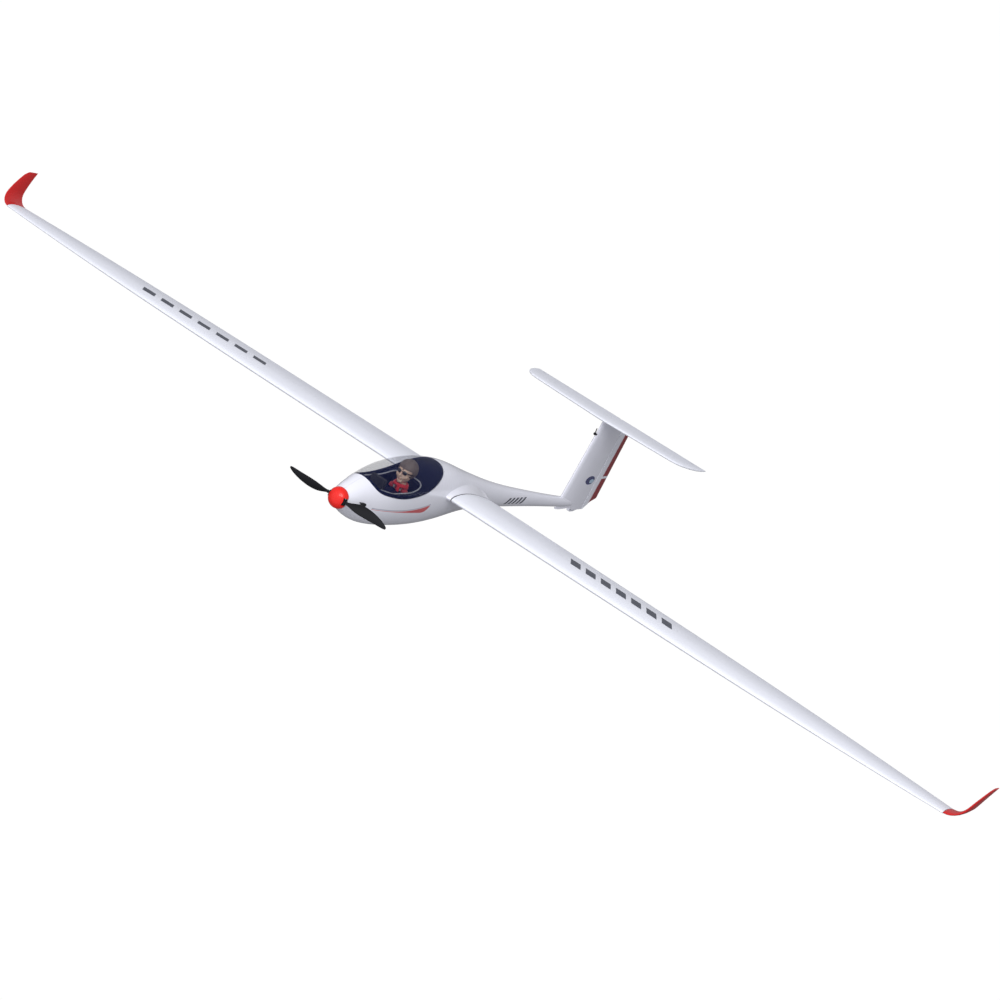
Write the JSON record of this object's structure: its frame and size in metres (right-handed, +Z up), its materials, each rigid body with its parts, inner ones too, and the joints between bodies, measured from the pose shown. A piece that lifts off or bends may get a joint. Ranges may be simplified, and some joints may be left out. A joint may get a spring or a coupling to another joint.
{
  "type": "rc glider",
  "caption": "Powered model sailplane with a T-tail, winglets, folding propeller, tinted canopy with a pilot bust, flaps, ailerons, elevator, rudder and belly wheel.",
  "frame": {"origin": "the point of the belly wheel that meets the ground", "axes": "+X towards the left wing tip, +Y aft along the fuselage (the nose faces -Y), +Z up with the fuselage level as in flight"},
  "size_m": [2.527, 1.2076, 0.2687],
  "materials": {
    "gloss_white": "gloss",
    "white_foam": "satin",
    "red_paint": "gloss",
    "tinted_canopy": "gloss",
    "black_plastic": "satin",
    "cockpit_grey": "matte",
    "painted_figure": "matte",
    "alloy": "satin",
    "steel": "satin",
    "carbon": "satin",
    "plywood": "matte",
    "rubber": "matte",
    "white_nylon": "satin",
    "blue_sleeve": "satin",
    "servo_case": "satin"
  },
  "bodies": {
    "fuselage": {"fuselage_left_shell": "gloss_white", "fuselage_right_shell": "gloss_white", "nose_scoop": "black_plastic", "fin_probe": "black_plastic", "tail_skid": "gloss_white", "motor_firewall": "plywood", "motor_stator": "alloy", "battery_tray": "plywood", "battery_pack": "blue_sleeve", "speed_controller": "servo_case", "radio_receiver": "servo_case", "wheel_axle": "steel", "wheel_bracket": "white_nylon", "wing_joiner_tube": "carbon", "wing_root_ribs": "black_plastic", "wing_servos": "servo_case", "tail_servos": "servo_case", "left_wing": "white_foam", "right_wing": "white_foam", "left_winglet": "red_paint", "right_winglet": "red_paint", "rudder_hinge_lugs": "white_nylon", "stabiliser_screws": "steel", "horizontal_stabiliser": "white_foam"},
    "canopy": {"canopy_glass": "tinted_canopy", "canopy_frame": "cockpit_grey", "cockpit_floor": "cockpit_grey", "instrument_panel": "cockpit_grey", "pilot_figure": "painted_figure"},
    "propeller": {"spinner": "red_paint", "propeller_yoke": "black_plastic", "blade_screws": "steel", "motor_bell": "steel"},
    "left_blade": {"left_blade": "black_plastic"},
    "right_blade": {"right_blade": "black_plastic"},
    "wheel": {"belly_wheel": "rubber"},
    "left_flap": {"left_flap": "white_foam", "left_flap_horn": "white_nylon"},
    "left_flap_arm": {"left_flap_servo_arm": "white_nylon"},
    "left_flap_rod": {"left_flap_pushrod": "steel"},
    "right_flap": {"right_flap": "white_foam", "right_flap_horn": "white_nylon"},
    "right_flap_arm": {"right_flap_servo_arm": "white_nylon"},
    "right_flap_rod": {"right_flap_pushrod": "steel"},
    "left_aileron": {"left_aileron": "white_foam", "left_aileron_horn": "white_nylon"},
    "left_aileron_arm": {"left_aileron_servo_arm": "white_nylon"},
    "left_aileron_rod": {"left_aileron_pushrod": "steel"},
    "right_aileron": {"right_aileron": "white_foam", "right_aileron_horn": "white_nylon"},
    "right_aileron_arm": {"right_aileron_servo_arm": "white_nylon"},
    "right_aileron_rod": {"right_aileron_pushrod": "steel"},
    "elevator": {"elevator": "white_foam", "elevator_horn": "white_nylon"},
    "elevator_arm": {"elevator_servo_arm": "white_nylon"},
    "elevator_rod": {"elevator_pushrod": "steel"},
    "rudder": {"rudder": "white_foam", "rudder_horn": "white_nylon"},
    "rudder_arm": {"rudder_servo_arm": "white_nylon"},
    "rudder_rod": {"rudder_pushrod": "steel"}
  },
  "joints": [
    {"name": "canopy_tilt", "type": "hinge", "parent": "fuselage", "child": "canopy", "pos_m": [0, -0.231, 0.1035], "axis": [1, 0, 0], "range_deg": [0, 50]},
    {"name": "propeller_spin", "type": "hinge", "parent": "fuselage", "child": "propeller", "pos_m": [0, -0.2895, 0.057], "axis": [0, 1, 0], "continuous": true},
    {"name": "left_blade_fold", "type": "hinge", "parent": "propeller", "child": "left_blade", "pos_m": [0.0165, -0.2895, 0.057], "axis": [0, 0, 1], "range_deg": [0, 42]},
    {"name": "right_blade_fold", "type": "hinge", "parent": "propeller", "child": "right_blade", "pos_m": [-0.0165, -0.2895, 0.057], "axis": [0, 0, -1], "range_deg": [0, 42]},
    {"name": "wheel_spin", "type": "hinge", "parent": "fuselage", "child": "wheel", "pos_m": [0, 0, 0.019], "axis": [1, 0, 0], "continuous": true},
    {"name": "left_flap_hinge", "type": "hinge", "parent": "fuselage", "child": "left_flap", "pos_m": [0.25, 0.18604, 0.08967], "axis": [0.9998, -0.022, 0], "range_deg": [-40, 0]},
    {"name": "left_flap_servo_arm_pivot", "type": "hinge", "parent": "fuselage", "child": "left_flap_arm", "pos_m": [0.24851, 0.11806, 0.08896], "axis": [0.9998, -0.022, 0], "range_deg": [-40, 0]},
    {"name": "left_flap_pushrod_pivot", "type": "hinge", "parent": "left_flap_arm", "child": "left_flap_rod", "pos_m": [0.24851, 0.11806, 0.07546], "axis": [0.9998, -0.022, 0], "range_deg": [0, 40]},
    {"name": "right_flap_hinge", "type": "hinge", "parent": "fuselage", "child": "right_flap", "pos_m": [-0.25, 0.18604, 0.08967], "axis": [0.9998, 0.022, 0], "range_deg": [-40, 0]},
    {"name": "right_flap_servo_arm_pivot", "type": "hinge", "parent": "fuselage", "child": "right_flap_arm", "pos_m": [-0.24851, 0.11806, 0.08896], "axis": [0.9998, 0.022, 0], "range_deg": [-40, 0]},
    {"name": "right_flap_pushrod_pivot", "type": "hinge", "parent": "right_flap_arm", "child": "right_flap_rod", "pos_m": [-0.24851, 0.11806, 0.07546], "axis": [0.9998, 0.022, 0], "range_deg": [0, 40]},
    {"name": "left_aileron_hinge", "type": "hinge", "parent": "fuselage", "child": "left_aileron", "pos_m": [0.7, 0.17236, 0.08941], "axis": [0.999, -0.0451, -0.0015], "range_deg": [-20, 20]},
    {"name": "left_aileron_servo_arm_pivot", "type": "hinge", "parent": "fuselage", "child": "left_aileron_arm", "pos_m": [0.69729, 0.11243, 0.08947], "axis": [0.999, -0.0451, -0.0015], "range_deg": [-20, 20]},
    {"name": "left_aileron_pushrod_pivot", "type": "hinge", "parent": "left_aileron_arm", "child": "left_aileron_rod", "pos_m": [0.69727, 0.11243, 0.07597], "axis": [0.999, -0.0451, -0.0015], "range_deg": [-20, 20]},
    {"name": "right_aileron_hinge", "type": "hinge", "parent": "fuselage", "child": "right_aileron", "pos_m": [-0.7, 0.17236, 0.08941], "axis": [0.999, 0.0451, 0.0015], "range_deg": [-20, 20]},
    {"name": "right_aileron_servo_arm_pivot", "type": "hinge", "parent": "fuselage", "child": "right_aileron_arm", "pos_m": [-0.69729, 0.11243, 0.08947], "axis": [0.999, 0.0451, 0.0015], "range_deg": [-20, 20]},
    {"name": "right_aileron_pushrod_pivot", "type": "hinge", "parent": "right_aileron_arm", "child": "right_aileron_rod", "pos_m": [-0.69727, 0.11243, 0.07597], "axis": [0.999, 0.0451, 0.0015], "range_deg": [-20, 20]},
    {"name": "elevator_hinge", "type": "hinge", "parent": "fuselage", "child": "elevator", "pos_m": [-0.014, 0.782, 0.263], "axis": [1, 0, 0], "range_deg": [-20, 20]},
    {"name": "elevator_servo_arm_pivot", "type": "hinge", "parent": "fuselage", "child": "elevator_arm", "pos_m": [-0.014, 0.782, 0.205], "axis": [1, 0, 0], "range_deg": [-20, 20]},
    {"name": "elevator_pushrod_pivot", "type": "hinge", "parent": "elevator_arm", "child": "elevator_rod", "pos_m": [-0.014, 0.792, 0.196], "axis": [1, 0, 0], "range_deg": [-20, 20]},
    {"name": "rudder_hinge", "type": "hinge", "parent": "fuselage", "child": "rudder", "pos_m": [0, 0.842, 0.112], "axis": [0, 0, 1], "range_deg": [-25, 25]},
    {"name": "rudder_servo_arm_pivot", "type": "hinge", "parent": "fuselage", "child": "rudder_arm", "pos_m": [0, 0.784, 0.112], "axis": [0, 0, 1], "range_deg": [-25, 25]},
    {"name": "rudder_pushrod_pivot", "type": "hinge", "parent": "rudder_arm", "child": "rudder_rod", "pos_m": [-0.014, 0.784, 0.112], "axis": [0, 0, 1], "range_deg": [-25, 25]}
  ],
  "couplings": [
    {"joint": "left_flap_servo_arm_pivot", "follows": "left_flap_hinge", "ratio": 1},
    {"joint": "left_flap_pushrod_pivot", "follows": "left_flap_hinge", "ratio": -1},
    {"joint": "right_flap_hinge", "follows": "left_flap_hinge", "ratio": 1},
    {"joint": "right_flap_servo_arm_pivot", "follows": "left_flap_hinge", "ratio": 1},
    {"joint": "right_flap_pushrod_pivot", "follows": "left_flap_hinge", "ratio": -1},
    {"joint": "left_aileron_servo_arm_pivot", "follows": "left_aileron_hinge", "ratio": 1},
    {"joint": "left_aileron_pushrod_pivot", "follows": "left_aileron_hinge", "ratio": -1},
    {"joint": "right_aileron_hinge", "follows": "left_aileron_hinge", "ratio": -1},
    {"joint": "right_aileron_servo_arm_pivot", "follows": "left_aileron_hinge", "ratio": -1},
    {"joint": "right_aileron_pushrod_pivot", "follows": "left_aileron_hinge", "ratio": 1},
    {"joint": "elevator_servo_arm_pivot", "follows": "elevator_hinge", "ratio": 1},
    {"joint": "elevator_pushrod_pivot", "follows": "elevator_hinge", "ratio": -1},
    {"joint": "rudder_servo_arm_pivot", "follows": "rudder_hinge", "ratio": 1},
    {"joint": "rudder_pushrod_pivot", "follows": "rudder_hinge", "ratio": -1}
  ]
}
